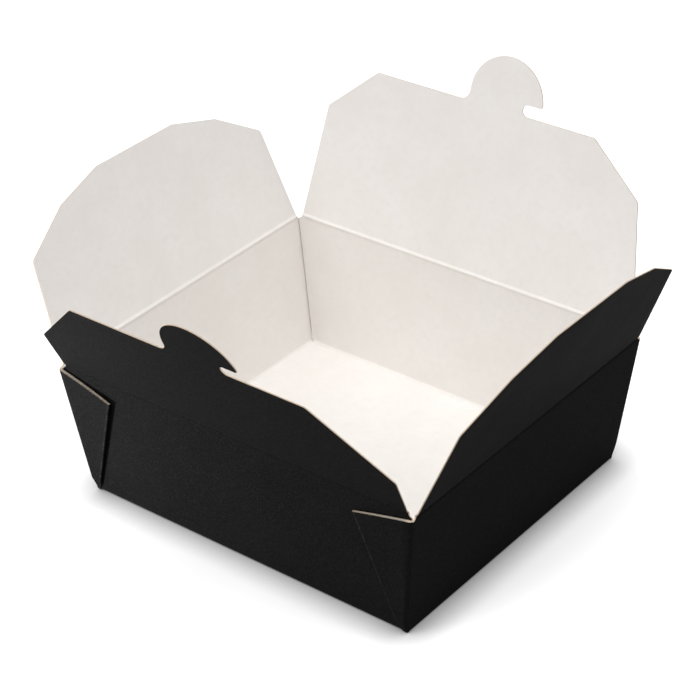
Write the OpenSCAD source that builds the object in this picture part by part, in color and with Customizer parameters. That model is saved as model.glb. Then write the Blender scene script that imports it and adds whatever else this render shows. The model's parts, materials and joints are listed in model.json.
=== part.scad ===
// Folding paperboard food box, open, with webbed corners and hook flaps.
// Millimetres. The base stands on z = 0 and is centred on the origin.
// The front is at -y and the right side at +x.

/* [Box] */
// Height of the box from the table to the crease of the front flap
height = 65; // [45:1:90]
// Length over the walls at the rim, left to right
rim_length = 190; // [160:1:230]
// Depth over the walls at the rim, front to back
rim_depth = 160; // [135:1:200]
// How far the left and right walls lean out over their height
side_taper = 9; // [4:0.5:13]
// How far the front and back walls lean out over their height
front_taper = 5; // [3:0.5:10]
// Thickness of the paperboard
board = 0.5; // [0.4:0.05:0.7]

/* [Webbed corners] */
// Width of the folded web along the rim of the front and back walls
web_width = 30; // [20:1:40]
// Distance from the crease of the front flap down to the web at the corner
web_top = 2.8; // [2:0.1:6]
// How much lower the web's inner point lies than its corner
web_drop = 8.5; // [4:0.5:14]
// Air between the two layers of the folded web
web_gap = 0.3; // [0.2:0.05:0.5]
// Width of the fold's mouth inside each corner
mouth = 0.6; // [0.4:0.1:1]

/* [Front flap] */
// Length of the front flap from its crease to its straight edge
front_reach = 53.5; // [48:0.5:62]
// Length of the front flap's sides, from the crease to the shoulders
front_shoulder = 21.5; // [14:0.5:30]
// How far each of the front flap's shoulders stands out
front_flare = 1.4; // [0:0.1:2]
// How far each end of the front flap's straight edge is set in
front_cut = 30.5; // [26:0.5:36]

/* [Back flap] */
// Length of the back flap from its crease to its straight edge
back_reach = 77.5; // [70:0.5:85]
// Length of the back flap's sides, from the crease to the shoulders
back_shoulder = 56; // [45:1:62]
// How far each of the back flap's shoulders is set in
back_narrowing = 8; // [2:0.5:12]
// How far each end of the back flap's straight edge is set in
back_cut = 33.5; // [28:0.5:38]

/* [Hook tabs] */
// Radius of the round tab
tab_radius = 19; // [14:0.5:22]
// Distance of the tab's centre to the right of the flap's middle
tab_offset = 11.5; // [6:0.5:13]
// Height of the tab's centre above the straight edge
tab_rise = 5; // [0:0.5:6]
// Radius of the hollow between the straight edge and the tab
tab_fillet = 5; // [2:0.5:7]
// Height of the notch that makes the tab a hook
notch_height = 5.3; // [4:0.1:7]
// Depth of the notch, from the tab's right side inward
notch_depth = 9.8; // [6:0.1:13]

/* [Side flaps] */
// Length of the left and right flaps from the crease to the straight edge
side_reach = 68.5; // [60:0.5:74]
// Length of the first straight side, from the crease
side_shoulder = 45.5; // [36:0.5:48]
// Distance from the crease to the corner between the two bevels
side_bend = 61; // [52:0.5:65]
// How far each shoulder is set in
side_narrowing = 4.5; // [2:0.5:8]
// How far each corner between the two bevels is set in
side_bend_cut = 29; // [18:0.5:32]
// How far each end of the straight edge is set in
side_top_cut = 54.5; // [38:0.5:56]

/* [Open flaps] */
// Lean of the front flap, outward from upright
front_lean = 24; // [10:1:60]
// Lean of the back flap, outward from upright
back_lean = 14; // [5:1:60]
// Lean of the left flap, outward from upright
left_lean = 20; // [10:1:60]
// Lean of the right flap, outward from upright
right_lean = 23; // [10:1:60]

/* [Creases] */
// Clear space between a flap's rounded root and the top of its wall
crease_gap = 0.2; // [0.1:0.05:0.3]
// Distance of the left and right flaps' roots from the ends of their walls
fold_inset = 1.2; // [0.8:0.1:2]
// Distance of the front and back flaps' roots from the ends of their walls
hook_inset = 3.5; // [1.2:0.1:5]
// Radius of the flaps' corners
corner_radius = 2.5; // [1:0.5:4]

/* [Hidden] */
$fn = 64;
// Small overlap where two arcs or an arc and a line would only touch
overlap = 0.02;
far = 400;
// How far a shape runs past the face that trims it
past = 5;
outside = "#232323";

// Half sizes over the walls at the base and at the rim
half_x = rim_length / 2;
half_y = rim_depth / 2;
base_x = half_x - side_taper;
base_y = half_y - front_taper;
side_tilt = atan(side_taper / height);
front_tilt = atan(front_taper / height);

// The side flaps fold in first, the front flap lies on them and the back flap on that
step = board + 0.2;
side_axis_z = height - step;
front_axis_z = height;
back_axis_z = height + step;
under_root = board / 2 + crease_gap;

// Front and back webs: two layers of board with air between them
web_thickness = 2 * board + web_gap;
web_corner_s = (height - web_top) / cos(front_tilt);
web_tip_s = (height - web_top - web_drop) / cos(front_tilt);
web_tip_x = half_x - web_width;
web_foot_x = base_x - 1.5;
fold_start = 4;

// Half width over the side walls at height z, drawn in by a wall thickness of d
function wall_x(z, d) = base_x + side_taper * z / height - d / cos(side_tilt);
function wall_y(z, d) = base_y + front_taper * z / height - d / cos(front_tilt);

// Space between the two side walls, as a prism that runs from front to back
module side_prism(d, z0, z1) {
    rotate([90, 0, 0])
        linear_extrude(far, center = true)
            polygon([
                [-wall_x(z0, d), z0],
                [wall_x(z0, d), z0],
                [wall_x(z1, d), z1],
                [-wall_x(z1, d), z1]
            ]);
}

// Space between the front and back walls, as a prism that runs from left to right
module front_prism(d, z0, z1) {
    rotate([90, 0, 90])
        linear_extrude(far, center = true)
            polygon([
                [-wall_y(z0, d), z0],
                [wall_y(z0, d), z0],
                [wall_y(z1, d), z1],
                [-wall_y(z1, d), z1]
            ]);
}

module taper_block(d, z0, z1) {
    intersection() {
        side_prism(d, z0, z1);
        front_prism(d, z0, z1);
    }
}

// The base and the four walls, each wall cut to the height of its own crease
module walls() {
    back_top = back_axis_z - under_root;
    front_top = front_axis_z - under_root;
    side_top = side_axis_z - under_root;
    clear_y = wall_y(side_top, board) - 2 * board;
    difference() {
        taper_block(0, 0, back_top);
        taper_block(board, board, back_top + 1);
        translate([-far / 2, -clear_y, side_top])
            cube([far, 2 * clear_y, far]);
        translate([-far / 2, -far, front_top])
            cube([far, far, far]);
        for (side = [-1, 1]) {
            translate([side * (half_x - fold_inset + far / 2), 0, side_top + far / 2])
                cube([far, far, far], center = true);
        }
    }
}

// Puts a flat shape on the outer face of the front wall, its second axis up the wall
module on_front_wall() {
    translate([0, -base_y, 0])
        rotate([90 + front_tilt, 0, 0])
            children();
}

// Outline of the folded web at the front right corner, run past the corner
module web_outline() {
    slope = web_drop / cos(front_tilt) / web_width;
    polygon([
        [web_foot_x, 0],
        [half_x + past, 0],
        [half_x + past, web_corner_s + past * slope],
        [web_tip_x, web_tip_s]
    ]);
}

// One web, folded flat against the outside of the front wall
module web_block() {
    intersection() {
        on_front_wall()
            translate([0, 0, -board / 2])
                linear_extrude(web_thickness + board / 2)
                    web_outline();
        side_prism(0, 0, height);
    }
}

// The air inside the web, closed along its free fold and open at its top edge
module web_air() {
    inset = 1.6 * board;
    intersection() {
        on_front_wall()
            translate([0, 0, board])
                linear_extrude(web_gap)
                    polygon([
                        [web_foot_x + 2 * inset, fold_start],
                        [half_x + past, fold_start],
                        [half_x + past, height + past],
                        [web_tip_x + inset, height + past],
                        [web_tip_x + inset, web_tip_s]
                    ]);
        side_prism(board, 0, height + past);
    }
}

// The mouth of the fold: a slit between the end of the front wall and the side wall
module web_mouth() {
    intersection() {
        difference() {
            side_prism(board, 0, height + past);
            side_prism(board + mouth, -past, height + 2 * past);
        }
        on_front_wall()
            translate([0, fold_start, -1.5 * board])
                linear_extrude(2.5 * board + web_gap)
                    square([far, far]);
    }
}

module tray() {
    color(outside)
        difference() {
            union() {
                walls();
                for (a = [0, 1], b = [0, 1])
                    mirror([a, 0, 0])
                        mirror([0, b, 0])
                            web_block();
            }
            for (a = [0, 1], b = [0, 1])
                mirror([a, 0, 0])
                    mirror([0, b, 0]) {
                        web_air();
                        web_mouth();
                    }
        }
}

// Point at distance r inside both edges of a corner b, between a and c
function unit(v) = v / norm(v);
function inward(a, b) = [-unit(b - a)[1], unit(b - a)[0]];
function inner_point(a, b, c, r) =
    b + r * (inward(a, b) + inward(b, c)) / (1 + inward(a, b) * inward(b, c));

// Convex outline with every corner rounded, its points given anticlockwise.
// Each round stands on the flat that cuts its corner off.
module rounded_outline(pts, r) {
    n = len(pts);
    before = [for (i = [0:n - 1]) pts[(i + n - 1) % n]];
    after = [for (i = [0:n - 1]) pts[(i + 1) % n]];
    inner = [for (i = [0:n - 1]) inner_point(before[i], pts[i], after[i], r)];
    polygon([
        for (i = [0:n - 1], side = [0, 1])
            inner[i] - r * (side == 0 ? inward(before[i], pts[i]) : inward(pts[i], after[i]))
    ]);
    for (i = [0:n - 1]) {
        translate(inner[i] + overlap * unit(inner[i] - pts[i]))
            circle(r);
    }
}

// Outline of a flap above its crease. steps holds [height, half width] from the crease up
module flap_outline(steps) {
    n = len(steps);
    first = steps[0];
    second = steps[1];
    below = 2 * first[1] - second[1];
    right = concat([[below, -second[0]]], [for (i = [1:n - 1]) [steps[i][1], steps[i][0]]]);
    left = [for (i = [n - 1:-1:1]) [-steps[i][1], steps[i][0]]];
    intersection() {
        rounded_outline(concat(right, left, [[-below, -second[0]]]), corner_radius);
        translate([-far / 2, 0])
            square([far, far / 2]);
    }
}

// Round tab on a straight edge that lies at height y, notched on its right to make a hook
module hook_tab(y) {
    barb = 1.2;
    hollow_x = tab_offset - sqrt(pow(tab_radius + tab_fillet, 2) - pow(tab_fillet - tab_rise, 2));
    notch_x = tab_offset + tab_radius - notch_depth;
    barb_y = notch_height + barb;
    barb_x = tab_offset + sqrt(pow(tab_radius - barb, 2) - pow(barb_y - tab_rise, 2));
    barb_dir = unit([barb_x - tab_offset, barb_y - tab_rise]);
    translate([0, y]) {
        difference() {
            union() {
                translate([tab_offset, tab_rise])
                    circle(tab_radius);
                difference() {
                    polygon([
                        [hollow_x, -1],
                        [tab_offset, -1],
                        [tab_offset, tab_rise],
                        [hollow_x, tab_fillet]
                    ]);
                    translate([hollow_x, tab_fillet])
                        circle(tab_fillet + overlap);
                }
            }
            translate([notch_x + notch_height / 2, 0])
                square([far, notch_height]);
            translate([notch_x + notch_height / 2, notch_height / 2])
                circle(notch_height / 2);
            polygon([
                [barb_x, barb_y],
                [barb_x, 0],
                [barb_x + notch_depth, 0],
                [barb_x, barb_y] + notch_depth * barb_dir
            ]);
            translate([-far / 2, -far - 1])
                square([far, far]);
        }
        translate([barb_x, barb_y])
            circle(barb + overlap);
    }
}

// A flat flap of board with a rounded root on the crease line, a little shorter than the flap
module flap_solid(root_length) {
    linear_extrude(board, center = true)
        children();
    rotate([0, 90, 0])
        cylinder(r = board / 2, h = root_length - board / 2, center = true);
}

// Stands a flap on the crease of a wall that faces -y, leaning outward by an angle
module on_crease(reach_y, axis_z, lean) {
    translate([0, -(reach_y - board / 2), axis_z])
        rotate([90 + lean, 0, 0])
            children();
}

module front_flap() {
    root = half_x - hook_inset;
    color(outside)
        on_crease(half_y, front_axis_z, front_lean)
            flap_solid(2 * root) {
                flap_outline([
                    [0, root],
                    [front_shoulder, root + front_flare],
                    [front_reach, root - front_cut]
                ]);
                hook_tab(front_reach);
            }
}

module back_flap() {
    root = half_x - hook_inset;
    color(outside)
        mirror([0, 1, 0])
            on_crease(half_y, back_axis_z, back_lean)
                flap_solid(2 * root) {
                    flap_outline([
                        [0, root],
                        [back_shoulder, root - back_narrowing],
                        [back_reach, root - back_cut]
                    ]);
                    hook_tab(back_reach);
                }
}

module side_flap(lean) {
    root = half_y - fold_inset;
    on_crease(half_x, side_axis_z, lean)
        flap_solid(2 * root)
            flap_outline([
                [0, root],
                [side_shoulder, root - side_narrowing],
                [side_bend, root - side_bend_cut],
                [side_reach, root - side_top_cut]
            ]);
}

module left_flap() {
    color(outside)
        rotate([0, 0, -90])
            side_flap(left_lean);
}

module right_flap() {
    color(outside)
        rotate([0, 0, 90])
            side_flap(right_lean);
}

tray();
front_flap();
back_flap();
left_flap();
right_flap();
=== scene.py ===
"""Folding paperboard food box: its board, creases and webbed corners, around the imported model."""

import json
import math

import bmesh
import bpy
import numpy as np
from mathutils import Matrix, Vector


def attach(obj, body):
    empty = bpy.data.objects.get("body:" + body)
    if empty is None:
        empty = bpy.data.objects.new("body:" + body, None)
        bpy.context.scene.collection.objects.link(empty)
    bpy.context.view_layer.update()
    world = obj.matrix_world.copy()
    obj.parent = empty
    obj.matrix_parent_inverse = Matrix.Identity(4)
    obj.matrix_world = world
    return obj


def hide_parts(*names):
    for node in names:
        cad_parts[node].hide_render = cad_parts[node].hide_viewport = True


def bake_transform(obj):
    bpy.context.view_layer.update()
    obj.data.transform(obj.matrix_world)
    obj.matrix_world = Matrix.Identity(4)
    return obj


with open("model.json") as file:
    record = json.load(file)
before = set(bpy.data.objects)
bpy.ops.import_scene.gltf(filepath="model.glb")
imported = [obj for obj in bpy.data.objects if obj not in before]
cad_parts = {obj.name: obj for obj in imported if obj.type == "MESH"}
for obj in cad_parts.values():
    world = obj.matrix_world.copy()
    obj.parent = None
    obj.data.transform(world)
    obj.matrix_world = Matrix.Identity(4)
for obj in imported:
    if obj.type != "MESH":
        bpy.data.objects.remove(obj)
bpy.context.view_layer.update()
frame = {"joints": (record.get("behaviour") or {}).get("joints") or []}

bl_info = {
    "name": "Folding Food Box",
    "version": (1, 0, 0),
    "blender": (4, 5, 0),
    "location": "3D View > Sidebar > Food Box",
    "description": "Builds an open paperboard food box with webbed corners and hook flaps",
    "category": "Add Mesh",
}

MM = 0.001
# Points nearer than this are one point
MERGE = 0.002 * MM
# A distance at which no crease shows
FAR_FROM_CREASE = 1.0
# Insets of the fine strip of points beside a fold
FINE_STRIP = (1.5 * MM, 1.0 * MM, 0.65 * MM, 0.3 * MM, 0.0)
# How finely the tray and the creases are divided
BEND_ROWS = 8
WALL_ROWS = 12
COLUMNS_ACROSS = 7
COLUMNS_ALONG = 6
WEB_COLUMNS = 8
TURN_COLUMNS = 8
CREASE_ROWS = 26
CREASE_COLUMNS = 48
# Flaps are cut into strips of this width, this many to each side of their middle
STRIP_WIDTH = 12 * MM
STRIPS = 9
# How many straight steps make each round stretch of a flap's outline
CORNER_STEPS = 7
NOTCH_STEPS = 14
BARB_STEPS = 8
TAB_STEPS = 44
HOLLOW_STEPS = 9
BARB_RADIUS = 1.2 * MM
# Edges that turn more sharply than this are drawn sharp
SHARP_ANGLE = math.radians(38)
# Share of their full distance by which a web's layers are parted at the foot
FOOT_SHARE = 0.15
# Shares of the full crease height that the tray's and the flaps' own folds show
TRAY_BEAD = 0.8
FLAP_BEAD = 0.0
# How far each fold is lightened, from nought to one: partly rubbed print, partly a painted highlight where
# the fold catches the light
BASE_WEAR_AND_HIGHLIGHT = 0.4
WEB_WEAR_AND_HIGHLIGHT = 0.65
UPRIGHT_WEAR_AND_HIGHLIGHT = 0.1
CREASE_WEAR_AND_HIGHLIGHT = 0.04
CREASE_WEAR_AND_HIGHLIGHT_WIDTH = 0.35 * MM
# The share of a web's outer layer, from its corner, at which the free fold's lightening of worn print and
# painted highlight begins
WEB_WEAR_AND_HIGHLIGHT_START = 0.97
# Refraction of coated paper and its varnish
BOARD_IOR = 1.45
# The way in which a pattern is moved off the others
SHIFT_WAY = (1.0, 1.7, 0.6)

# Each crease: its joint, its body, the way its wall faces, and how many degrees its flap leans
# out at rest
CREASES = {
    "front": {"joint": "front_crease", "body": "front_flap", "wall": (0, -1), "lean": 24.0},
    "back": {"joint": "back_crease", "body": "back_flap", "wall": (0, 1), "lean": 14.0},
    "left": {"joint": "left_crease", "body": "left_flap", "wall": (-1, 0), "lean": 20.0},
    "right": {"joint": "right_crease", "body": "right_flap", "wall": (1, 0), "lean": 23.0},
}
HOOK_FLAPS = ("front", "back")
SIDE_FLAPS = ("left", "right")


def axis_of(crease):
    """Distance of a crease's axis from the box's middle and its height, in metres."""
    joint = next(j for j in frame["joints"] if j["name"] == CREASES[crease]["joint"])
    x, y, z = joint["pos_m"]
    return abs(x) + abs(y), z


def smooth_step(share):
    """Eases a share from nought to one, level at both ends."""
    return share * share * (3 - 2 * share)


def even(count):
    """Even shares from nought to one, without either end."""
    return [i / count for i in range(1, count)]


# Sizes and colours


def length(name, description, mm):
    """A size in metres, given here in millimetres."""
    return bpy.props.FloatProperty(
        name=name, description=description, default=mm * MM,
        min=0.0, unit="LENGTH", subtype="DISTANCE", precision=5,
    )


def linear(code):
    """A six-digit sRGB colour code as linear red, green, blue and an alpha of one."""
    parts = [int(code[i : i + 2], 16) / 255 for i in (0, 2, 4)]
    return tuple(c / 12.92 if c <= 0.04045 else ((c + 0.055) / 1.055) ** 2.4 for c in parts) + (1.0,)


def colour(name, description, code):
    """A colour given by its sRGB code."""
    return bpy.props.FloatVectorProperty(
        name=name, description=description, default=linear(code),
        size=4, min=0.0, max=1.0, subtype="COLOR",
    )


class TraySizes(bpy.types.PropertyGroup):
    """Sizes of the tray and its webbed corners."""

    base_half_length: length("Base half length", "From the middle to the side walls at the base", 86.0)
    base_half_depth: length("Base half depth", "From the middle to the front wall at the base", 75.0)
    height: length("Height", "From the table to the front crease", 65.0)
    side_taper: length("Side taper", "How far the left and right walls lean out", 9.0)
    front_taper: length("Front taper", "How far the front and back walls lean out", 5.0)
    board: length("Board", "Thickness of the paperboard", 0.5)
    base_bend: length("Base bend", "Outer radius of the bend between base and wall", 1.2)
    corner_bend: length("Corner bend", "Outer radius of the upright corners", 1.3)
    tight_fold: length("Tight fold", "Half the distance between a wall and the web on it", 0.55)
    web_fold: length("Web fold", "Half the distance between the two layers of a web", 0.34)
    mouth: length("Mouth", "Gap between the front wall's folded end and the side wall", 0.5)
    web_tip: length("Web tip", "From the middle to the web's inner point", 65.0)
    web_corner_height: length("Web corner height", "Height of the web's cut at the corner", 62.8)
    web_tip_height: length("Web tip height", "Height of the web's inner point", 56.0)
    web_spread: length("Web spread", "How much wider a web is open at its corner than at its tip", 0.3)
    left_spring: length("Left spring", "How far the tips of the two left webs stand off the wall", 1.2)
    right_spring: length("Right spring", "How far the tips of the two right webs stand off the wall", 0.7)
    web_rise: length("Web rise", "Height over which a web's layers part, from its foot", 8.0)


class FlapSizes(bpy.types.PropertyGroup):
    """Sizes of the lid flaps and their creases."""

    front_reach: length("Front reach", "From the front crease to the straight edge", 53.5)
    front_shoulder: length("Front shoulder", "From the front crease to the shoulders", 21.5)
    front_flare: length("Front flare", "How far the front shoulders stand out", 1.4)
    front_cut: length("Front cut", "How far the front straight edge is set in", 30.5)
    back_reach: length("Back reach", "From the back crease to the straight edge", 77.5)
    back_shoulder: length("Back shoulder", "From the back crease to the shoulders", 56.0)
    back_narrowing: length("Back narrowing", "How far the back shoulders are set in", 8.0)
    back_cut: length("Back cut", "How far the back straight edge is set in", 33.5)
    side_reach: length("Side reach", "From a side crease to the straight edge", 68.5)
    side_shoulder: length("Side shoulder", "From a side crease to the first corner", 45.5)
    side_bend: length("Side bend", "From a side crease to the second corner", 61.0)
    side_narrowing: length("Side narrowing", "How far the first corner is set in", 4.5)
    side_bend_cut: length("Side bend cut", "How far the second corner is set in", 29.0)
    side_top_cut: length("Side top cut", "How far the straight edge is set in", 54.5)
    corner_radius: length("Corner radius", "Radius of the flaps' corners", 2.5)
    side_inset: length("Side inset", "Distance of the side flaps' roots from the ends of their walls", 1.2)
    hook_inset: length("Hook inset", "Distance of the hook flaps' roots from the ends of their walls", 3.5)
    tab_radius: length("Tab radius", "Radius of the round tab", 19.0)
    tab_offset: length("Tab offset", "From the flap's middle to the tab's centre", 11.5)
    tab_rise: length("Tab rise", "Height of the tab's centre above the straight edge", 5.0)
    tab_hollow: length("Tab hollow", "Radius between the straight edge and the tab", 5.0)
    notch_height: length("Notch height", "Height of the notch in the tab", 5.3)
    notch_depth: length("Notch depth", "Depth of the notch in the tab", 9.8)
    crease_half: length("Crease half width", "From the crease line to the flat board", 1.6)
    bead_height: length("Bead height", "How far the crease stands proud inside", 0.5)
    bead_width: length("Bead width", "Half width of the raised crease", 0.75)
    groove_depth: length("Groove depth", "How deep the crease lies outside", 0.32)


class BoardColours(bpy.types.PropertyGroup):
    """Colours of the board and the floor."""

    outside: colour("Outside", "Matte black print on the outside", "141414")
    outside_light: colour("Outside, lighter", "Lighter cloudiness in the black print", "181818")
    outside_grain: colour("Outside, grain", "Fine fibre grain in the black print", "242424")
    # Grey of worn print on the folds, also used as a painted highlight there
    outside_rubbed: colour("Outside, rubbed", "Black print worn on the folds", "3E3D3C")
    inside: colour("Inside", "White coating on the inside", "F3F0ED")
    inside_warm: colour("Inside, warmer", "Warmer cloudiness in the white coating", "F0ECE8")
    inside_mottle: colour("Inside, mottle", "Small darker spots in the white coating", "EDE9E5")
    cut_edge: colour("Cut edge", "Bare fibre at the die-cut edges", "D2C0AA")
    cut_edge_dark: colour("Cut edge, darker", "Darker fibre at the die-cut edges", "A38F7A")
    floor: colour("Floor", "Pale studio floor", "F8F8F8")
    floor_cloud: colour("Floor, cloudiness", "Faint clouds in the floor", "F4F4F4")
    floor_bounce: colour("Floor, bounce", "The floor as it lights the box", "B4B4B4")


# Nodes


def add(tree, kind, settings=None, **inputs):
    """Adds a node, sets its properties, and fills its inputs with values, sockets or other nodes.
    An input is named as on the node, with spaces as underscores, or in_0, in_1 for its place. A
    node that is given as an input stands for its first output in use."""
    node = tree.nodes.new(kind)
    for key, value in (settings or {}).items():
        setattr(node, key, value)
    for key, value in inputs.items():
        if key.startswith("in_"):
            socket = node.inputs[int(key[3:])]
        else:
            socket = next(s for s in node.inputs if s.enabled and s.name == key.replace("_", " "))
        if isinstance(value, bpy.types.Node):
            value = next(s for s in value.outputs if s.enabled)
        if isinstance(value, bpy.types.NodeSocket):
            tree.links.new(value, socket)
        else:
            socket.default_value = value
    return node


def new_material(name):
    """An empty node material and its tree."""
    material = bpy.data.materials.new(name)
    material.use_nodes = True
    material.node_tree.nodes.clear()
    return material, material.node_tree


def mottling(tree, feature_mm, detail, roughness, shift=0.0):
    """A cloudy pattern whose features are about feature_mm wide. shift, in metres, moves it away
    from the other patterns of its material."""
    where = add(tree, "ShaderNodeTexCoord").outputs["Object"]
    away = [shift * part for part in SHIFT_WAY]
    place = add(tree, "ShaderNodeMapping", Vector=where, Location=away)
    scale = 1.0 / (feature_mm * MM)
    return add(tree, "ShaderNodeTexNoise", Vector=place, Scale=scale, Detail=detail, Roughness=roughness)


# Materials


def black_print(name, colours):
    """Solid bleached board, printed black and sealed with a matte water varnish. The varnish
    leaves an even, low sheen, the fibres below show as a fine grain, and folds are lightened: rubbed print
    and a painted highlight."""
    material, tree = new_material(name)
    # Thicker and thinner varnish changes over about 22 mm, and the board's own waves are 30 mm long
    clouds = mottling(tree, 22.0, detail=3.0, roughness=0.55)
    waves = mottling(tree, 30.0, detail=1.0, roughness=0.4, shift=11.0)
    # Fibre grain is 0.05 mm in the real board, drawn at 0.8 mm so that it shows
    grain = mottling(tree, 0.8, detail=3.0, roughness=0.6, shift=3.0)
    # Fibres lie in bundles about 1.6 mm long
    bundles = mottling(tree, 1.6, detail=4.0, roughness=0.6, shift=7.0)
    cloudy = add(tree, "ShaderNodeMapRange", Value=clouds, From_Min=0.3, From_Max=0.7)
    grainy = add(tree, "ShaderNodeMapRange", Value=grain, From_Min=0.42, From_Max=0.78)
    proud = add(tree, "ShaderNodeMapRange", Value=bundles, From_Min=0.38, From_Max=0.66)
    # Folds are lightened by this mark: partly worn print, partly a painted highlight along the fold
    rub = add(tree, "ShaderNodeAttribute", {"attribute_name": "rub"}).outputs["Fac"]
    worn_and_highlit = add(tree, "ShaderNodeMath", {"operation": "MULTIPLY"}, in_0=rub, in_1=proud)
    base = colours.outside
    for share, tint in (
        (cloudy, colours.outside_light), (grainy, colours.outside_grain), (worn_and_highlit, colours.outside_rubbed)
    ):
        base = add(tree, "ShaderNodeMix", {"data_type": "RGBA"}, Factor=share, A=base, B=tint)
    rough = add(tree, "ShaderNodeMapRange", Value=cloudy, To_Min=0.55, To_Max=0.62)
    wavy = add(tree, "ShaderNodeBump", Height=waves, Distance=0.2 * MM, Strength=0.3)
    fibrous = add(tree, "ShaderNodeBump", Height=bundles, Distance=0.03 * MM, Strength=0.35, Normal=wavy)
    normal = add(tree, "ShaderNodeBump", Height=grain, Distance=0.02 * MM, Strength=0.5, Normal=fibrous)
    shader = add(
        tree, "ShaderNodeBsdfPrincipled",
        Base_Color=base, Roughness=rough, Normal=normal, IOR=BOARD_IOR, Specular_IOR_Level=0.006,
    )
    add(tree, "ShaderNodeOutputMaterial", Surface=shader)
    return material


def white_coating(name, colours):
    """The unprinted side of solid bleached board with a thin food-safe coating. It is a warm
    white with soft clouds from the fibre, a fine tooth and a faint satin sheen."""
    material, tree = new_material(name)
    # The coating's clouds and the board's waves are 26 and 28 mm long, and its spots 3.2 mm
    clouds = mottling(tree, 26.0, detail=4.0, roughness=0.6, shift=2.0)
    waves = mottling(tree, 28.0, detail=1.0, roughness=0.4, shift=14.0)
    spots = mottling(tree, 3.2, detail=4.0, roughness=0.6, shift=5.0)
    # The tooth of the coating is 0.03 mm, drawn at 0.5 mm so that it shows
    tooth = mottling(tree, 0.5, detail=3.0, roughness=0.6, shift=9.0)
    cloudy = add(tree, "ShaderNodeMapRange", Value=clouds, From_Min=0.34, From_Max=0.66)
    spotted = add(tree, "ShaderNodeMapRange", Value=spots, From_Min=0.45, From_Max=0.9)
    base = colours.inside
    for share, tint in ((cloudy, colours.inside_warm), (spotted, colours.inside_mottle)):
        base = add(tree, "ShaderNodeMix", {"data_type": "RGBA"}, Factor=share, A=base, B=tint)
    rough = add(tree, "ShaderNodeMapRange", Value=spots, To_Min=0.46, To_Max=0.6)
    wavy = add(tree, "ShaderNodeBump", Height=waves, Distance=0.25 * MM, Strength=0.35)
    uneven = add(tree, "ShaderNodeBump", Height=spots, Distance=0.03 * MM, Strength=0.4, Normal=wavy)
    normal = add(tree, "ShaderNodeBump", Height=tooth, Distance=0.015 * MM, Strength=0.4, Normal=uneven)
    shader = add(
        tree, "ShaderNodeBsdfPrincipled",
        Base_Color=base, Roughness=rough, Normal=normal, IOR=BOARD_IOR, Specular_IOR_Level=0.4,
    )
    add(tree, "ShaderNodeOutputMaterial", Surface=shader)
    return material


def cut_fibre(name, colours):
    """The board's die-cut edge: bare pressed fibre, dull and slightly darker than the coating."""
    material, tree = new_material(name)
    # Fibres in the cut are 0.02 mm thick, drawn at 0.4 mm so that they show
    strands = mottling(tree, 0.4, detail=5.0, roughness=0.7, shift=4.0)
    dark = add(tree, "ShaderNodeMapRange", Value=strands, From_Min=0.4, From_Max=0.75)
    base = add(
        tree, "ShaderNodeMix", {"data_type": "RGBA"},
        Factor=dark, A=colours.cut_edge, B=colours.cut_edge_dark,
    )
    normal = add(tree, "ShaderNodeBump", Height=strands, Distance=0.06 * MM, Strength=0.7)
    shader = add(
        tree, "ShaderNodeBsdfPrincipled",
        Base_Color=base, Roughness=0.9, Normal=normal, IOR=BOARD_IOR, Specular_IOR_Level=0.2,
    )
    add(tree, "ShaderNodeOutputMaterial", Surface=shader)
    return material


def board_materials():
    """The three finishes of the board, each made once: outside, inside and cut edge."""
    colours = bpy.context.scene.food_box_colours
    makers = {
        "matte_black_varnished_board": black_print,
        "coated_white_board": white_coating,
        "bare_cut_board_edge": cut_fibre,
    }
    return [bpy.data.materials.get(name) or maker(name, colours) for name, maker in makers.items()]


# The board as geometry nodes


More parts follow.
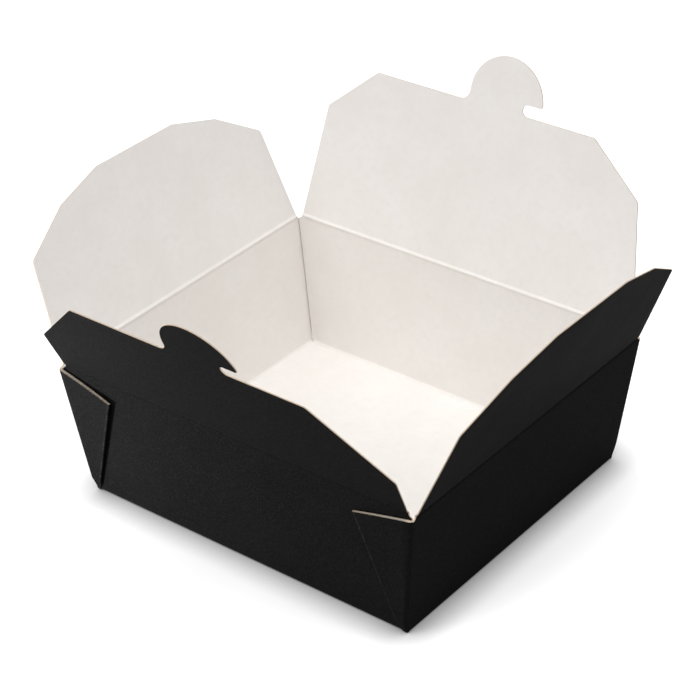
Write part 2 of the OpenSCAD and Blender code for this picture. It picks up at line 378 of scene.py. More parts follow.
def board_tree():
    """Geometry nodes that turn a folded middle surface into board: it gets its thickness along
    the stored outward direction, a raised bead inside and a groove outside along each crease,
    and the finishes of its outside, inside and cut edges."""
    known = bpy.data.node_groups.get("folded_board")
    if known:
        return known
    tree = bpy.data.node_groups.new("folded_board", "GeometryNodeTree")
    tree.interface.new_socket("Geometry", in_out="INPUT", socket_type="NodeSocketGeometry")
    for name in ("Board", "Bead height", "Bead width", "Groove depth"):
        socket = tree.interface.new_socket(name, in_out="INPUT", socket_type="NodeSocketFloat")
        socket.subtype = "DISTANCE"
    for name in ("Outside", "Inside", "Cut edge"):
        tree.interface.new_socket(name, in_out="INPUT", socket_type="NodeSocketMaterial")
    tree.interface.new_socket("Geometry", in_out="OUTPUT", socket_type="NodeSocketGeometry")
    given = add(tree, "NodeGroupInput").outputs
    outward = add(tree, "GeometryNodeInputNamedAttribute", {"data_type": "FLOAT_VECTOR"}, Name="outward")
    distance = add(tree, "GeometryNodeInputNamedAttribute", {"data_type": "FLOAT"}, Name="from_crease")
    # The crease swells from nought at twice its half width to its full size on the crease line
    reach = add(tree, "ShaderNodeMath", {"operation": "MULTIPLY"}, in_0=given["Bead width"], in_1=2.0)
    share = add(tree, "ShaderNodeMath", {"operation": "DIVIDE"}, in_0=distance, in_1=reach)
    square = add(tree, "ShaderNodeMath", {"operation": "MULTIPLY"}, in_0=share, in_1=share)
    fall = add(tree, "ShaderNodeMath", {"operation": "SUBTRACT"}, in_0=1.0, in_1=square)
    rise = add(tree, "ShaderNodeMath", {"operation": "MAXIMUM"}, in_0=fall, in_1=0.0)
    swell = add(tree, "ShaderNodeMath", {"operation": "POWER"}, in_0=rise, in_1=3.0)
    # The inside moves in by half the board and the bead, the outside out by half less the groove
    half = add(tree, "ShaderNodeMath", {"operation": "MULTIPLY"}, in_0=given["Board"], in_1=0.5)
    bead = add(tree, "ShaderNodeMath", {"operation": "MULTIPLY"}, in_0=swell, in_1=given["Bead height"])
    inset = add(tree, "ShaderNodeMath", {"operation": "ADD"}, in_0=half, in_1=bead)
    inward = add(tree, "ShaderNodeMath", {"operation": "MULTIPLY"}, in_0=inset, in_1=-1.0)
    groove = add(tree, "ShaderNodeMath", {"operation": "MULTIPLY"}, in_0=swell, in_1=given["Groove depth"])
    outset = add(tree, "ShaderNodeMath", {"operation": "SUBTRACT"}, in_0=half, in_1=groove)
    thickness = add(tree, "ShaderNodeMath", {"operation": "SUBTRACT"}, in_0=outset, in_1=inward)
    step_in = add(tree, "ShaderNodeVectorMath", {"operation": "SCALE"}, Vector=outward, Scale=inward)
    step_out = add(tree, "ShaderNodeVectorMath", {"operation": "SCALE"}, Vector=outward, Scale=thickness)
    # The inner face, the outer face raised from it with the cut edge between them, and one shell
    inner = add(tree, "GeometryNodeSetPosition", Geometry=given["Geometry"], Offset=step_in)
    raised = add(
        tree, "GeometryNodeExtrudeMesh", {"mode": "FACES"}, Mesh=inner, Offset_Scale=0.0, Individual=False
    )
    top, side = raised.outputs["Top"], raised.outputs["Side"]
    outer = add(tree, "GeometryNodeSetPosition", Geometry=raised, Selection=top, Offset=step_out)
    turned = add(tree, "GeometryNodeFlipFaces", Mesh=inner)
    both = add(tree, "GeometryNodeJoinGeometry")
    for part in (turned, outer):
        tree.links.new(part.outputs[0], both.inputs["Geometry"])
    closed = add(tree, "GeometryNodeMergeByDistance", Geometry=both, Distance=MERGE)
    smooth = add(tree, "GeometryNodeSetShadeSmooth", {"domain": "FACE"}, Geometry=closed)
    angle = add(tree, "GeometryNodeInputMeshEdgeAngle").outputs["Unsigned Angle"]
    sharp = add(tree, "FunctionNodeCompare", {"operation": "GREATER_THAN"}, in_0=angle, in_1=SHARP_ANGLE)
    edged = add(
        tree, "GeometryNodeSetShadeSmooth", {"domain": "EDGE"},
        Geometry=smooth, Selection=sharp, Shade_Smooth=False,
    )
    real = add(tree, "GeometryNodeRealizeInstances", Geometry=edged)
    coated = add(tree, "GeometryNodeSetMaterial", Geometry=real, Material=given["Inside"])
    cut = add(tree, "GeometryNodeSetMaterial", Geometry=coated, Selection=side, Material=given["Cut edge"])
    printed = add(tree, "GeometryNodeSetMaterial", Geometry=cut, Selection=top, Material=given["Outside"])
    add(tree, "NodeGroupOutput", Geometry=printed)
    return tree


def board_piece(name, sheet, bead=1.0):
    """Makes a finished piece of board from a folded middle surface. bead is the share of the full
    crease height and depth that its folds show."""
    flaps = bpy.context.scene.food_box_flaps
    tray = bpy.context.scene.food_box_tray
    mesh = bpy.data.meshes.new(name)
    mesh.from_pydata([tuple(p) for p in sheet.points], [], sheet.faces)
    for key, kind, field, values in (
        ("outward", "FLOAT_VECTOR", "vector", sheet.outward),
        ("from_crease", "FLOAT", "value", sheet.from_crease),
        ("rub", "FLOAT", "value", sheet.rub),
    ):
        attribute = mesh.attributes.new(key, kind, "POINT")
        attribute.data.foreach_set(field, np.array(values, np.float32).ravel())
    welding = bmesh.new()
    welding.from_mesh(mesh)
    bmesh.ops.remove_doubles(welding, verts=welding.verts, dist=MERGE)
    bmesh.ops.dissolve_degenerate(welding, edges=welding.edges, dist=MERGE)
    welding.to_mesh(mesh)
    welding.free()
    piece = bpy.data.objects.new(name, mesh)
    bpy.context.scene.collection.objects.link(piece)
    tree = board_tree()
    modifier = piece.modifiers.new("board", "NODES")
    modifier.node_group = tree
    outside, inside, cut = board_materials()
    given = {
        "Board": tray.board,
        "Bead height": flaps.bead_height * bead,
        "Bead width": flaps.bead_width,
        "Groove depth": flaps.groove_depth * bead,
        "Outside": outside,
        "Inside": inside,
        "Cut edge": cut,
    }
    for socket in tree.interface.items_tree:
        if socket.in_out == "INPUT" and socket.name in given:
            modifier[socket.identifier] = given[socket.name]
    evaluated = piece.evaluated_get(bpy.context.evaluated_depsgraph_get())
    plain = bpy.data.meshes.new_from_object(evaluated)
    piece.modifiers.remove(modifier)
    piece.data = plain
    bpy.data.meshes.remove(mesh)
    plain.name = name
    for key in ("outward", "from_crease"):
        if key in plain.attributes:
            plain.attributes.remove(plain.attributes[key])
    return piece


class Sheet:
    """The middle surface of a piece of board, with the way its printed side faces at each point."""

    def __init__(self):
        """An empty sheet."""
        self.points, self.outward, self.from_crease, self.rub, self.faces = [], [], [], [], []

    def point(self, place, outward, from_crease=FAR_FROM_CREASE, rub=0.0):
        """Adds a point and gives its number."""
        self.points.append(Vector(place))
        self.outward.append(Vector(outward).normalized())
        self.from_crease.append(from_crease)
        self.rub.append(rub)
        return len(self.points) - 1

    def grid(self, columns, turned=False):
        """Joins neighbouring columns of points with faces."""
        for first, second in zip(columns, columns[1:]):
            for a, b, c, d in zip(first, second, second[1:], first[1:]):
                face = [a, b, c, d]
                self.faces.append(face[::-1] if turned else face)


# The tray


class Corner:
    """Shapes of one quarter of the tray in plan, as x outward to the side and v outward to the
    front. Where they say front wall, the back wall of a back quarter is the same."""

    def __init__(self, sizes, spring=0.0):
        """A quarter of the tray whose web stands off the wall by spring at its tip."""
        self.sizes = sizes
        self.spring = spring
        self.half = sizes.board / 2
        self.side_tilt = math.atan(sizes.side_taper / sizes.height)
        self.front_tilt = math.atan(sizes.front_taper / sizes.height)
        self.bend_mid = sizes.base_bend - self.half
        self.corner_mid = sizes.corner_bend - self.half
        self.base_x = self.side_mid(sizes.base_bend) - self.bend_mid / math.cos(self.side_tilt)
        self.base_v = self.front_mid(sizes.base_bend) - self.bend_mid / math.cos(self.front_tilt)
        self.foot_x = self.front_end(0.0) - self.half

    def side_face(self, z):
        """The side wall's outer face."""
        return self.sizes.base_half_length + self.sizes.side_taper * z / self.sizes.height

    def front_face(self, z):
        """The front wall's outer face."""
        return self.sizes.base_half_depth + self.sizes.front_taper * z / self.sizes.height

    def side_mid(self, z):
        """The middle of the side wall's board."""
        return self.side_face(z) - self.half / math.cos(self.side_tilt)

    def front_mid(self, z):
        """The middle of the front wall's board."""
        return self.front_face(z) - self.half / math.cos(self.front_tilt)

    def front_end(self, z):
        """Where the front wall's folded end begins to turn."""
        return self.side_mid(z) - self.half - self.sizes.mouth - self.sizes.tight_fold - self.half

    def web_edge(self, z):
        """The web's free fold."""
        tip = self.sizes.web_tip + self.sizes.web_fold + self.half
        return self.foot_x + (tip - self.foot_x) * z / self.sizes.web_tip_height

    def web_top(self, t):
        """Height of the web's cut, from its corner at t = 0 to its tip at t = 1."""
        drop = self.sizes.web_corner_height - self.sizes.web_tip_height
        return self.sizes.web_corner_height / (1 + drop * t / self.sizes.web_tip_height)

    def parted(self, z):
        """Share of their full distance by which the web's layers have parted at height z."""
        return FOOT_SHARE + (1 - FOOT_SHARE) * smooth_step(min(1.0, z / self.sizes.web_rise))

    def tight_radius(self, z):
        """Half the distance between the wall and the web's inner layer."""
        return self.sizes.tight_fold * self.parted(z)

    def fold_radius(self, t, z):
        """Half the distance between the web's two layers."""
        return (self.sizes.web_fold + self.sizes.web_spread / 2 * (1 - t)) * self.parted(z)

    def inner_layer(self, t, z):
        """The web's layer next to the wall, which springs off it towards the tip."""
        lift = self.spring * t * t * z / self.sizes.web_tip_height
        return self.front_mid(z) + 2 * self.tight_radius(z) + lift

    def outer_layer(self, t, z):
        """The web's layer that is seen from outside."""
        return self.inner_layer(t, z) + 2 * self.fold_radius(t, z)

    def side_end(self, z):
        """Where the side wall begins to turn into the corner."""
        return self.outer_layer(0, z) + self.half - self.sizes.corner_bend

    def corner_x(self, z):
        """Where the web's outer layer begins to turn into the corner."""
        return self.side_mid(z) + self.half - self.sizes.corner_bend

    def tilted(self, x, v):
        """The outward direction in space of a face that looks along x and v in plan."""
        return (x, v, -x * math.tan(self.side_tilt) - v * math.tan(self.front_tilt))

    # Each part of the folded corner gives a place in plan and the way its print faces, at height z

    def tight_turn(self, a, z):
        """The fold between the front wall and the web, turned by the angle a."""
        r = self.tight_radius(z)
        place = (self.front_end(z) + r * math.sin(a), self.front_mid(z) + r - r * math.cos(a))
        return place, (-math.sin(a), math.cos(a))

    def inner_web(self, t, z):
        """The web's inner layer, from its corner at t = 0 to its free fold at t = 1."""
        x = self.front_end(z) - t * (self.front_end(z) - self.web_edge(z))
        return (x, self.inner_layer(t, z)), (0, -1)

    def free_fold(self, a, z):
        """The web's free fold, turned by the angle a."""
        r = self.fold_radius(1, z)
        middle = self.inner_layer(1, z) + r
        place = (self.web_edge(z) - r * math.sin(a), middle - r * math.cos(a))
        return place, (-math.sin(a), -math.cos(a))

    def outer_web(self, t, z):
        """The web's outer layer, from its corner at t = 0 to its free fold at t = 1."""
        x = self.corner_x(z) - t * (self.corner_x(z) - self.web_edge(z))
        return (x, self.outer_layer(t, z)), (0, 1)

    def upright_bend(self, a, z):
        """The bend between the web and the side wall, turned by the angle a."""
        r = self.corner_mid
        place = (self.corner_x(z) + r * math.sin(a), self.side_end(z) + r * math.cos(a))
        return place, (math.sin(a), math.cos(a))


def places_along(count):
    """Places along an edge: even shares up to the fine strip beside the fold, then insets."""
    return [(i / count, None) for i in range(count + 1)] + [(1, inset) for inset in FINE_STRIP[1:]]


def place_on(place, end):
    """Where a place lies on an edge of the given length."""
    share, inset = place
    return share * (end - FINE_STRIP[0]) if inset is None else end - inset


def heights_above(low, top):
    """Heights of a wall's rows over its base bend: close together at first, then even."""
    fine = [low + rise for rise in FINE_STRIP[-2::-1]]
    return fine + [fine[-1] + (top - fine[-1]) * k / WALL_ROWS for k in range(1, WALL_ROWS + 1)]


def wall_column(corner, place, top, is_front):
    """One upright line of a wall from the base's edge to the crease. Each of its points is a place,
    the way the print faces, the distance from a crease and the lightening of worn print and painted
    highlight."""
    if is_front:
        flat_end, flat_out, tilt = corner.base_x, corner.base_v, corner.front_tilt
        end_at, out_at = corner.front_end, corner.front_mid
    else:
        flat_end, flat_out, tilt = corner.base_v, corner.base_x, corner.side_tilt
        end_at, out_at = corner.side_end, corner.side_mid
    start = corner.sizes.base_bend
    last = math.pi / 2 - tilt
    foot = place_on(place, flat_end)
    rows = []
    for k in range(BEND_ROWS + 1):
        a = last * k / BEND_ROWS
        flank = foot + (place_on(place, end_at(start)) - foot) * math.sin(a) / math.sin(last)
        out = flat_out + corner.bend_mid * math.sin(a)
        z = start - corner.bend_mid * math.cos(a)
        rows.append((flank, out, z, a, corner.bend_mid * abs(a - last / 2)))
    low = rows[-1][2]
    for z in heights_above(low, top):
        rows.append((place_on(place, end_at(z)), out_at(z), z, last, z - low + corner.bend_mid * last / 2))
    column = []
    for flank, out, z, a, bent in rows:
        # The base bend is lightened: worn print and a painted highlight along the bend
        rub = BASE_WEAR_AND_HIGHLIGHT * math.exp(-((bent / start) ** 2))
        if is_front:
            # The tight turn beside the front wall is a crease as well
            beside = end_at(z) - place_on(place, end_at(z)) + corner.tight_radius(z) * math.pi / 2
            column.append(((flank, out, z), (0, math.sin(a), -math.cos(a)), min(bent, beside), rub))
        else:
            column.append(((out, flank, z), (math.sin(a), 0, -math.cos(a)), bent, rub))
    return column


def corner_column(corner, part, step, top, rub=0.0, from_crease=FAR_FROM_CREASE):
    """One line of a part of the folded corner, from the base's corner up to its top."""
    start = corner.sizes.base_bend
    (end_x, end_v), plan_facing = part(step, start)
    facing = Vector(corner.tilted(*plan_facing)).normalized()
    column = []
    for k in range(BEND_ROWS + 1):
        a = math.pi / 2 * k / BEND_ROWS
        out, rise = math.sin(a), 1 - math.cos(a)
        x = corner.base_x + (end_x - corner.base_x) * out
        v = corner.base_v + (end_v - corner.base_v) * out
        z = corner.half + (start - corner.half) * rise
        print_side = facing * out + Vector((0, 0, -1)) * math.cos(a)
        column.append(((x, v, z), tuple(print_side), FAR_FROM_CREASE, rub * rise))
    for z in heights_above(start, top):
        (x, v), plan_facing = part(step, z)
        column.append(((x, v, z), corner.tilted(*plan_facing), from_crease, rub))
    return column


def corner_columns(corner):
    """Every line of the folded corner, from the front wall's end to the side wall's."""
    sizes = corner.sizes
    columns = []
    for f in even(TURN_COLUMNS) + [1.0]:
        bent = sizes.tight_fold * math.pi * abs(f - 0.5)
        columns.append(
            corner_column(corner, corner.tight_turn, math.pi * f, sizes.web_corner_height, 0.0, bent)
        )
    for t in even(WEB_COLUMNS) + [1.0]:
        columns.append(corner_column(corner, corner.inner_web, t, corner.web_top(t)))
    # The free fold is lightened from its middle on, as worn print and a painted highlight, and with it a
    # narrow line of the outer layer
    for f in even(TURN_COLUMNS):
        rub = WEB_WEAR_AND_HIGHLIGHT * min(1.0, 2 * f)
        columns.append(corner_column(corner, corner.free_fold, math.pi * f, sizes.web_tip_height, rub))
    columns.append(corner_column(corner, corner.outer_web, 1.0, corner.web_top(1.0), WEB_WEAR_AND_HIGHLIGHT))
    for t in [WEB_WEAR_AND_HIGHLIGHT_START] + even(WEB_COLUMNS)[::-1] + [0.0]:
        columns.append(corner_column(corner, corner.outer_web, t, corner.web_top(t)))
    for f in even(TURN_COLUMNS):
        # The upright bend's middle gets a faint painted highlight, partly worn print
        rub = UPRIGHT_WEAR_AND_HIGHLIGHT * math.sin(math.pi * f)
        bent = corner.corner_mid * math.pi / 2 * abs(f - 0.5)
        columns.append(
            corner_column(corner, corner.upright_bend, math.pi / 2 * f, sizes.web_corner_height, rub, bent)
        )
    return columns


def tray_quarter(sheet, corner, sx, sy, front_top, side_top):
    """Adds a quarter of the tray: its part of the base, half of two walls and the folded corner.
    sx and sy are the signs of its x and y."""
    turned = sx * sy < 0

    def lay(column):
        """Puts a column's points on the sheet, in this quarter of the tray."""
        numbers = []
        for (x, v, z), (facing_x, facing_v, facing_z), distance, rub in column:
            facing = (sx * facing_x, sy * facing_v, facing_z)
            numbers.append(sheet.point((sx * x, sy * v, z), facing, distance, rub))
        return numbers

    # Base
    base = []
    for place in places_along(COLUMNS_ACROSS):
        x = place_on(place, corner.base_x)
        line = []
        for side_place in places_along(COLUMNS_ALONG):
            v = place_on(side_place, corner.base_v)
            edge = min(corner.base_x - x, corner.base_v - v) + corner.bend_mid * math.pi / 4
            line.append(((x, v, corner.half), (0, 0, -1), edge, 0.0))
        base.append(lay(line))
    sheet.grid(base, turned)
    # Front or back wall, from its middle to the corner
    front = [lay(wall_column(corner, place, front_top, True)) for place in places_along(COLUMNS_ACROSS)]
    sheet.grid(front, turned)
    # Side wall, from the corner to its middle, and the folded corner before it
    side_places = places_along(COLUMNS_ALONG)[::-1]
    side = [lay(wall_column(corner, place, side_top, False)) for place in side_places]
    folded = [lay(column) for column in corner_columns(corner)]
    sheet.grid([front[-1], *folded, *side], turned)


def tray_sheet(sizes, flaps):
    """Middle surface of the tray: base, four walls and four webbed corners in one folded piece."""
    sheet = Sheet()
    tops = {name: wall_top(name, sizes, flaps)[1] for name in CREASES}
    for sx, side, spring in ((-1, "left", sizes.left_spring), (1, "right", sizes.right_spring)):
        for sy, front in ((-1, "front"), (1, "back")):
            tray_quarter(sheet, Corner(sizes, spring), sx, sy, tops[front], tops[side])
    return sheet


# The creases and flaps


def to_wall(crease, u, out, z):
    """A point beside a wall: u along it, out from the box's middle, and its height."""
    wx, wy = CREASES[crease]["wall"]
    return (wx * out - wy * u, wy * out + wx * u, z)


def wall_tilt(crease, sizes):
    """How far a wall leans out from the upright."""
    taper = sizes.front_taper if crease in HOOK_FLAPS else sizes.side_taper
    return math.atan(taper / sizes.height)


def wall_top(crease, sizes, flaps):
    """Where the middle of a wall's board meets the crease strip: its distance out and its height."""
    corner = Corner(sizes)
    height = axis_of(crease)[1] - flaps.crease_half * math.cos(wall_tilt(crease, sizes))
    out = corner.front_mid(height) if crease in HOOK_FLAPS else corner.side_mid(height)
    return out, height


def flap_root(crease, sizes, flaps):
    """Half the length of a flap at its crease."""
    if crease in HOOK_FLAPS:
        return sizes.base_half_length + sizes.side_taper - flaps.hook_inset
    return sizes.base_half_depth + sizes.front_taper - flaps.side_inset


def flap_slant(crease, flaps):
    """How fast a flap narrows from its crease."""
    if crease == "front":
        return -flaps.front_flare / flaps.front_shoulder
    if crease == "back":
        return flaps.back_narrowing / flaps.back_shoulder
    return flaps.side_narrowing / flaps.side_shoulder


def crease_sheet(crease, sizes, flaps):
    """Middle surface of the scored strip between a wall and its flap."""
    sheet = Sheet()
    out, height = axis_of(crease)
    reach = flaps.crease_half
    low, high = wall_tilt(crease, sizes), math.radians(CREASES[crease]["lean"])
    corner = Corner(sizes)
    wall_end_at = corner.front_end if crease in HOOK_FLAPS else corner.side_end
    wall_out, wall_height = wall_top(crease, sizes, flaps)
    wall_end = wall_end_at(wall_height)
    # The wall's board meets the strip this far outside the line through the joint's axis
    aside = wall_out - (out - reach * math.sin(low))
    root, slant = flap_root(crease, sizes, flaps), flap_slant(crease, flaps)
    lines = []
    for k in range(CREASE_ROWS + 1):
        # From the crease line, less than nought towards the wall
        s = reach * (2 * k / CREASE_ROWS - 1)
        share = smooth_step(k / CREASE_ROWS)
        lean = low + (high - low) * share
        half = root - slant * s if s > 0 else root + (wall_end - root) * (s / reach) ** 2
        place = (out + s * math.sin(lean) + aside * (1 - share), height + s * math.cos(lean))
        facing = to_wall(crease, 0, math.cos(lean), -math.sin(lean))
        # A thin lighter line on the crease: worn print and a painted highlight
        rub = CREASE_WEAR_AND_HIGHLIGHT * math.exp(-((s / CREASE_WEAR_AND_HIGHLIGHT_WIDTH) ** 2))
        line = []
        for i in range(CREASE_COLUMNS + 1):
            u = half * (2 * i / CREASE_COLUMNS - 1)
            line.append(sheet.point(to_wall(crease, u, *place), facing, from_crease=abs(s), rub=rub))
        lines.append(line)
    sheet.grid(lines, True)
    return sheet


def arc(centre, radius, first, last, count):
    """Points on an arc between two angles in degrees."""
    angles = [math.radians(first + (last - first) * i / count) for i in range(count + 1)]
    return [(centre[0] + radius * math.cos(a), centre[1] + radius * math.sin(a)) for a in angles]


def rounded(points, radius):
    """An open line with its inner corners rounded; its two ends stay."""
    line = [points[0]]
    for before, here, after in zip(points, points[1:], points[2:]):
        a = (Vector(before) - Vector(here)).normalized()
        b = (Vector(after) - Vector(here)).normalized()
        half = a.angle(b) / 2
        middle = Vector(here) + (a + b).normalized() * (radius / math.sin(half))
        start = Vector(here) + a * (radius / math.tan(half)) - middle
        end = Vector(here) + b * (radius / math.tan(half)) - middle
        turn = start.angle_signed(end)
        for i in range(CORNER_STEPS + 1):
            line.append(tuple(middle + Matrix.Rotation(-turn * i / CORNER_STEPS, 2) @ start))
    line.append(points[-1])
    return line


def hook_tab(edge, flaps):
    """The round tab's outline from right to left, over a straight edge that lies at height edge."""
    radius, x, rise = flaps.tab_radius, flaps.tab_offset, flaps.tab_rise
    hollow, notch = flaps.tab_hollow, flaps.notch_height
    hollow_x = x - math.sqrt((radius + hollow) ** 2 - (hollow - rise) ** 2)
    notch_x = x + radius - flaps.notch_depth + notch / 2
    barb_y = notch + BARB_RADIUS
    barb_x = x + math.sqrt((radius - BARB_RADIUS) ** 2 - (barb_y - rise) ** 2)
    barb_end = math.degrees(math.atan2(barb_y - rise, barb_x - x))
    meet = math.degrees(math.atan2(hollow - rise, hollow_x - x))
    line = arc((notch_x, notch / 2), notch / 2, -90, -270, NOTCH_STEPS)
    line += arc((barb_x, barb_y), BARB_RADIUS, -90, barb_end, BARB_STEPS)
    line += arc((x, rise), radius, barb_end, meet, TAB_STEPS)[1:]
    line += arc((hollow_x, hollow), hollow, meet - 180, -90, HOLLOW_STEPS)[1:]
    return [(px, edge + py) for px, py in line]


def flap_outline(crease, sizes, flaps):
    """Outline of a flap's flat board, anticlockwise, its first and last points on the crease strip."""
    root, slant = flap_root(crease, sizes, flaps), flap_slant(crease, flaps)
    if crease == "front":
        corners = [
            (root + flaps.front_flare, flaps.front_shoulder),
            (root - flaps.front_cut, flaps.front_reach),
        ]
    elif crease == "back":
        corners = [
            (root - flaps.back_narrowing, flaps.back_shoulder),
            (root - flaps.back_cut, flaps.back_reach),
        ]
    else:
        corners = [
            (root - flaps.side_narrowing, flaps.side_shoulder),
            (root - flaps.side_bend_cut, flaps.side_bend),
            (root - flaps.side_top_cut, flaps.side_reach),
        ]
    start = (root - slant * flaps.crease_half, flaps.crease_half)
    edge = corners[-1][1]
    right = rounded([start, *corners, (0.0, edge)], flaps.corner_radius)[:-1]
    left = [(-u, v) for u, v in right[::-1]]
    middle = hook_tab(edge, flaps) if crease in HOOK_FLAPS else []
    return right + middle + left


def flap_sheet(crease, sizes, flaps):
    """Middle surface of a flat flap, cut into even strips."""
    out, height = axis_of(crease)
    lean = math.radians(CREASES[crease]["lean"])
    outline = flap_outline(crease, sizes, flaps)
    flat = bmesh.new()
    flat.faces.new([flat.verts.new((u, v, 0)) for u, v in outline])
    for across in ((1, 0, 0), (0, 1, 0)):
        for i in range(-STRIPS, STRIPS + 1):
            place = [c * i * STRIP_WIDTH for c in across]
            everything = flat.verts[:] + flat.edges[:] + flat.faces[:]
            bmesh.ops.bisect_plane(flat, geom=everything, plane_co=place, plane_no=across, dist=MERGE)
    flat.verts.ensure_lookup_table()
    sheet = Sheet()
    facing = to_wall(crease, 0, math.cos(lean), -math.sin(lean))
    # Both tabs stand towards the right wall, so the back flap's outline is mirrored
    mirrored = crease == "back"
    for vert in flat.verts:
        u, v, _ = vert.co
        away = (out + v * math.sin(lean), height + v * math.cos(lean))
        sheet.point(to_wall(crease, -u if mirrored else u, *away), facing)
    for face in flat.faces:
        loop = [v.index for v in face.verts]
        sheet.faces.append(loop[::-1] if mirrored else loop)
    flat.free()
    return sheet


# Operators


class FOODBOX_OT_tray(bpy.types.Operator):
    """Folds the tray: base, four walls and four webbed corners"""

    bl_idname = "foodbox.tray"
    bl_label = "Tray"

    def execute(self, context):
        sheet = tray_sheet(context.scene.food_box_tray, context.scene.food_box_flaps)
        piece = board_piece("tray_board", sheet, bead=TRAY_BEAD)
        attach(piece, "tray")
        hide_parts("tray")
        return {"FINISHED"}


class FOODBOX_OT_creases(bpy.types.Operator):
    """Scores the four creases that join the flaps to the walls"""

    bl_idname = "foodbox.creases"
    bl_label = "Creases"

    def execute(self, context):
        sizes, flaps = context.scene.food_box_tray, context.scene.food_box_flaps
        for crease, about in CREASES.items():
            piece = board_piece(crease + "_crease_board", crease_sheet(crease, sizes, flaps))
            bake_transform(piece)
        return {"FINISHED"}


class FOODBOX_OT_hook_flaps(bpy.types.Operator):
    """Cuts the front and back flaps with their round hook tabs"""

    bl_idname = "foodbox.hook_flaps"
    bl_label = "Hook Flaps"

    def execute(self, context):
        make_flaps(context, HOOK_FLAPS)
        return {"FINISHED"}


class FOODBOX_OT_side_flaps(bpy.types.Operator):
    """Cuts the left and right flaps with their bevelled corners"""

    bl_idname = "foodbox.side_flaps"
    bl_label = "Side Flaps"

    def execute(self, context):
        make_flaps(context, SIDE_FLAPS)
        return {"FINISHED"}


def make_flaps(context, names):
    """Makes the board of the named flaps and sets it on their bodies."""
    sizes, flaps = context.scene.food_box_tray, context.scene.food_box_flaps
    for crease in names:
        body = CREASES[crease]["body"]
        piece = board_piece(body + "_board", flap_sheet(crease, sizes, flaps), bead=FLAP_BEAD)
        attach(piece, body)
        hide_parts(body)


# The stage

# Camera fitted to the box's corners in a square picture: degrees, and metres beside the aim
CAMERA = {
    "azimuth": 39.67,
    "elevation": 32.16,
    "roll": -2.48,
    "distance": 0.97682,
    "aim_height": 0.0325,
    "right": -0.0012,
    "up": 0.0271,
}
# The lens and the sensor's width in millimetres
LENS = 115.48
SENSOR = 36.0
# Half the floor's side in metres
FLOOR_HALF = 6.0
# The floor lies this far under the box, so that the two never share a plane
FLOOR_DROP = 0.06 * MM
# The floor's own glow and the sky's light, where one is white
FLOOR_GLOW = 0.53
WORLD_STRENGTH = 0.45
# How far from the box's walls the painted contact shadow reaches
CONTACT_SHADOW_REACH = 14 * MM
# Pieces that the left lamp, which stands close, would bleach when a nearer flap is moved away
FAR_PIECES = ("back_flap_board", "back_crease_board", "right_flap_board", "right_crease_board")
# Lamps in metres and watts, with the grid's angle in degrees. The left lamp is low enough to lie
# under a front or left flap that is folded right down.
LAMPS = (
    {"name": "key_lamp", "place": (-0.4, -1.1, 1.0), "aim": (0, 0, 0.06), "width": 0.7, "power": 6.0},
    {
        "name": "left_lamp", "place": (-0.16, -0.25, 0.017), "aim": (-0.105, -0.08, 0.05),
        "width": 0.032, "power": 0.31, "grid": 130.0, "kept_off": FAR_PIECES,
    },
    {"name": "top_lamp", "place": (0.25, 0.0, 1.5), "aim": (0, 0, 0.06), "width": 0.6, "power": 9.6},
)


def area_light(name, place, aim, width, power, grid=180.0, kept_off=()):
    """A soft round lamp that looks at a point. A grid before it narrows its light to that many
    degrees, and a flag beside it keeps its light off the named pieces."""
    lamp = bpy.data.lights.new(name, "AREA")
    lamp.shape = "DISK"
    lamp.size = width
    lamp.energy = power
    lamp.spread = math.radians(grid)
    holder = bpy.data.objects.new(name, lamp)
    bpy.context.scene.collection.objects.link(holder)
    holder.location = place
    holder.visible_camera = False
    holder.rotation_euler = (Vector(aim) - Vector(place)).to_track_quat("-Z", "Y").to_euler()
    if kept_off:
        flag = bpy.data.collections.new(name + "_flag")
        for piece in kept_off:
            flag.objects.link(bpy.data.objects[piece])
        for entry in flag.collection_objects:
            entry.light_linking.link_state = "EXCLUDE"
        holder.light_linking.receiver_collection = flag


def seen_share(tree):
    """One for rays that show a surface to the eye, straight or in a sheen or glass, and else nought."""
    path = add(tree, "ShaderNodeLightPath").outputs
    seen = path["Is Camera Ray"]
    for kind in ("Is Glossy Ray", "Is Transmission Ray"):
        seen = add(tree, "ShaderNodeMath", {"operation": "MAXIMUM"}, in_0=seen, in_1=path[kind])
    return seen


def floor_material(colours):
    """White studio sweep. Where it is seen, its own glow lifts it to the white of the backdrop,
    and only the contact shadow under the box stays grey, cast in part and painted in part."""
    material, tree = new_material("white_studio_floor")
    clouds = mottling(tree, 60.0, detail=2.0, roughness=0.5)
    paper = add(
        tree, "ShaderNodeMix", {"data_type": "RGBA"}, Factor=clouds, A=colours.floor, B=colours.floor_cloud
    )
    # Painted contact shadow: an occlusion term darkens the floor's colour and glow close beside the box's
    # walls
    painted_contact_shadow = add(tree, "ShaderNodeAmbientOcclusion", Distance=CONTACT_SHADOW_REACH).outputs["AO"]
    shaded = add(
        tree, "ShaderNodeMix", {"data_type": "RGBA"}, Factor=painted_contact_shadow, A=linear("000000"), B=paper
    )
    strength = add(tree, "ShaderNodeMath", {"operation": "MULTIPLY"}, in_0=painted_contact_shadow, in_1=FLOOR_GLOW)
    shade = add(tree, "ShaderNodeBsdfDiffuse", Color=shaded)
    glow = add(tree, "ShaderNodeEmission", Color=linear("FFFFFF"), Strength=strength)
    lifted = add(tree, "ShaderNodeAddShader", in_0=shade, in_1=glow)
    matte = add(tree, "ShaderNodeBsdfDiffuse", Color=colours.floor_bounce)
    shader = add(tree, "ShaderNodeMixShader", in_0=seen_share(tree), in_1=matte, in_2=lifted)
    add(tree, "ShaderNodeOutputMaterial", Surface=shader)
    return material


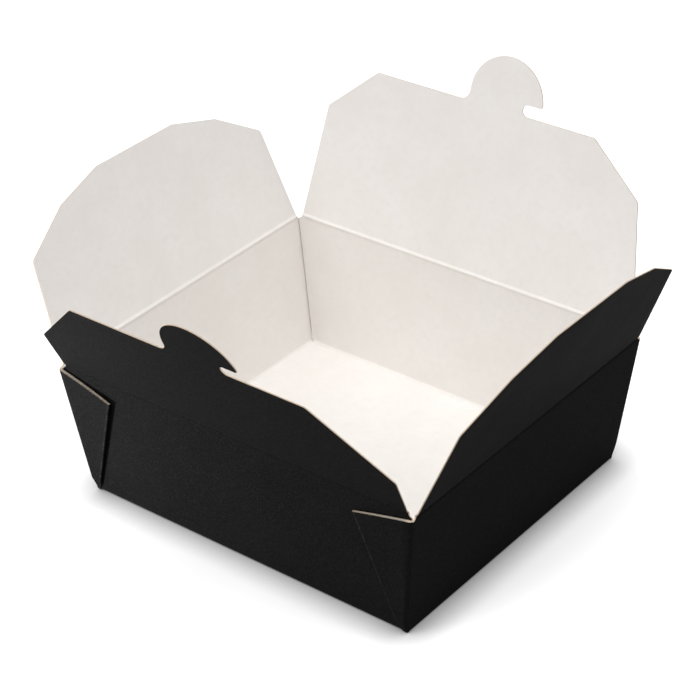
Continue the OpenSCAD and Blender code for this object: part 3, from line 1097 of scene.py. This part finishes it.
def place_camera():
    """The camera at the photograph's viewing angle."""
    a, e, r = (math.radians(CAMERA[k]) for k in ("azimuth", "elevation", "roll"))
    back = Vector((math.sin(a) * math.cos(e), -math.cos(a) * math.cos(e), math.sin(e)))
    right = Vector((math.cos(a), math.sin(a), 0))
    up = back.cross(right)
    right, up = right * math.cos(r) + up * math.sin(r), up * math.cos(r) - right * math.sin(r)
    data = bpy.data.cameras.new("camera")
    data.lens = LENS
    data.sensor_width = SENSOR
    data.sensor_fit = "HORIZONTAL"
    data.clip_start, data.clip_end = 0.05, 50.0
    camera = bpy.data.objects.new("camera", data)
    bpy.context.scene.collection.objects.link(camera)
    aim = Vector((0, 0, CAMERA["aim_height"])) + right * CAMERA["right"] + up * CAMERA["up"]
    eye = aim + back * CAMERA["distance"]
    camera.matrix_world = Matrix.Translation(eye) @ Matrix((right, up, back)).transposed().to_4x4()
    bpy.context.scene.camera = camera


class FOODBOX_OT_stage(bpy.types.Operator):
    """Sets the floor, the lamps, the backdrop and the camera"""

    bl_idname = "foodbox.stage"
    bl_label = "Stage"

    def execute(self, context):
        scene = context.scene
        corners = [(x * FLOOR_HALF, y * FLOOR_HALF, 0) for x, y in ((-1, -1), (1, -1), (1, 1), (-1, 1))]
        mesh = bpy.data.meshes.new("floor")
        mesh.from_pydata(corners, [], [(0, 1, 2, 3)])
        floor = bpy.data.objects.new("floor", mesh)
        scene.collection.objects.link(floor)
        floor.location.z = -FLOOR_DROP
        mesh.materials.append(floor_material(scene.food_box_colours))
        for lamp in LAMPS:
            area_light(**lamp)
        world = bpy.data.worlds.new("studio")
        world.use_nodes = True
        tree = world.node_tree
        tree.nodes.clear()
        soft = add(tree, "ShaderNodeBackground", Color=linear("FFFFFF"), Strength=WORLD_STRENGTH)
        white = add(tree, "ShaderNodeBackground", Color=linear("FFFFFF"), Strength=1.0)
        sky = add(tree, "ShaderNodeMixShader", in_0=seen_share(tree), in_1=soft, in_2=white)
        add(tree, "ShaderNodeOutputWorld", Surface=sky)
        scene.world = world
        scene.view_settings.view_transform = "Standard"
        place_camera()
        return {"FINISHED"}


class FOODBOX_PT_panel(bpy.types.Panel):
    """Lists the box's sizes, colours and pieces"""

    bl_idname = "FOODBOX_PT_panel"
    bl_label = "Food Box"
    bl_space_type = "VIEW_3D"
    bl_region_type = "UI"
    bl_category = "Food Box"

    def draw(self, context):
        for title, group in (
            ("Tray", context.scene.food_box_tray),
            ("Flaps", context.scene.food_box_flaps),
            ("Colours", context.scene.food_box_colours),
        ):
            box = self.layout.box()
            box.label(text=title)
            for key in group.__annotations__:
                box.prop(group, key)
        for operator in OPERATORS:
            self.layout.operator(operator.bl_idname)


GROUPS = {"food_box_tray": TraySizes, "food_box_flaps": FlapSizes, "food_box_colours": BoardColours}
OPERATORS = (
    FOODBOX_OT_tray,
    FOODBOX_OT_hook_flaps,
    FOODBOX_OT_side_flaps,
    FOODBOX_OT_creases,
    FOODBOX_OT_stage,
)


def register():
    """Makes the box's sizes, operators and panel known to Blender."""
    for cls in (*GROUPS.values(), *OPERATORS, FOODBOX_PT_panel):
        bpy.utils.register_class(cls)
    for key, group in GROUPS.items():
        setattr(bpy.types.Scene, key, bpy.props.PointerProperty(type=group))


def unregister():
    """Takes back what register made known."""
    for key in GROUPS:
        delattr(bpy.types.Scene, key)
    for cls in (FOODBOX_PT_panel, *OPERATORS[::-1], *GROUPS.values()):
        bpy.utils.unregister_class(cls)


def main():
    """Registers the classes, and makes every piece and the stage."""
    register()
    for operator in OPERATORS:
        group, name = operator.bl_idname.split(".")
        getattr(getattr(bpy.ops, group), name)()


if __name__ == "__main__":
    main()
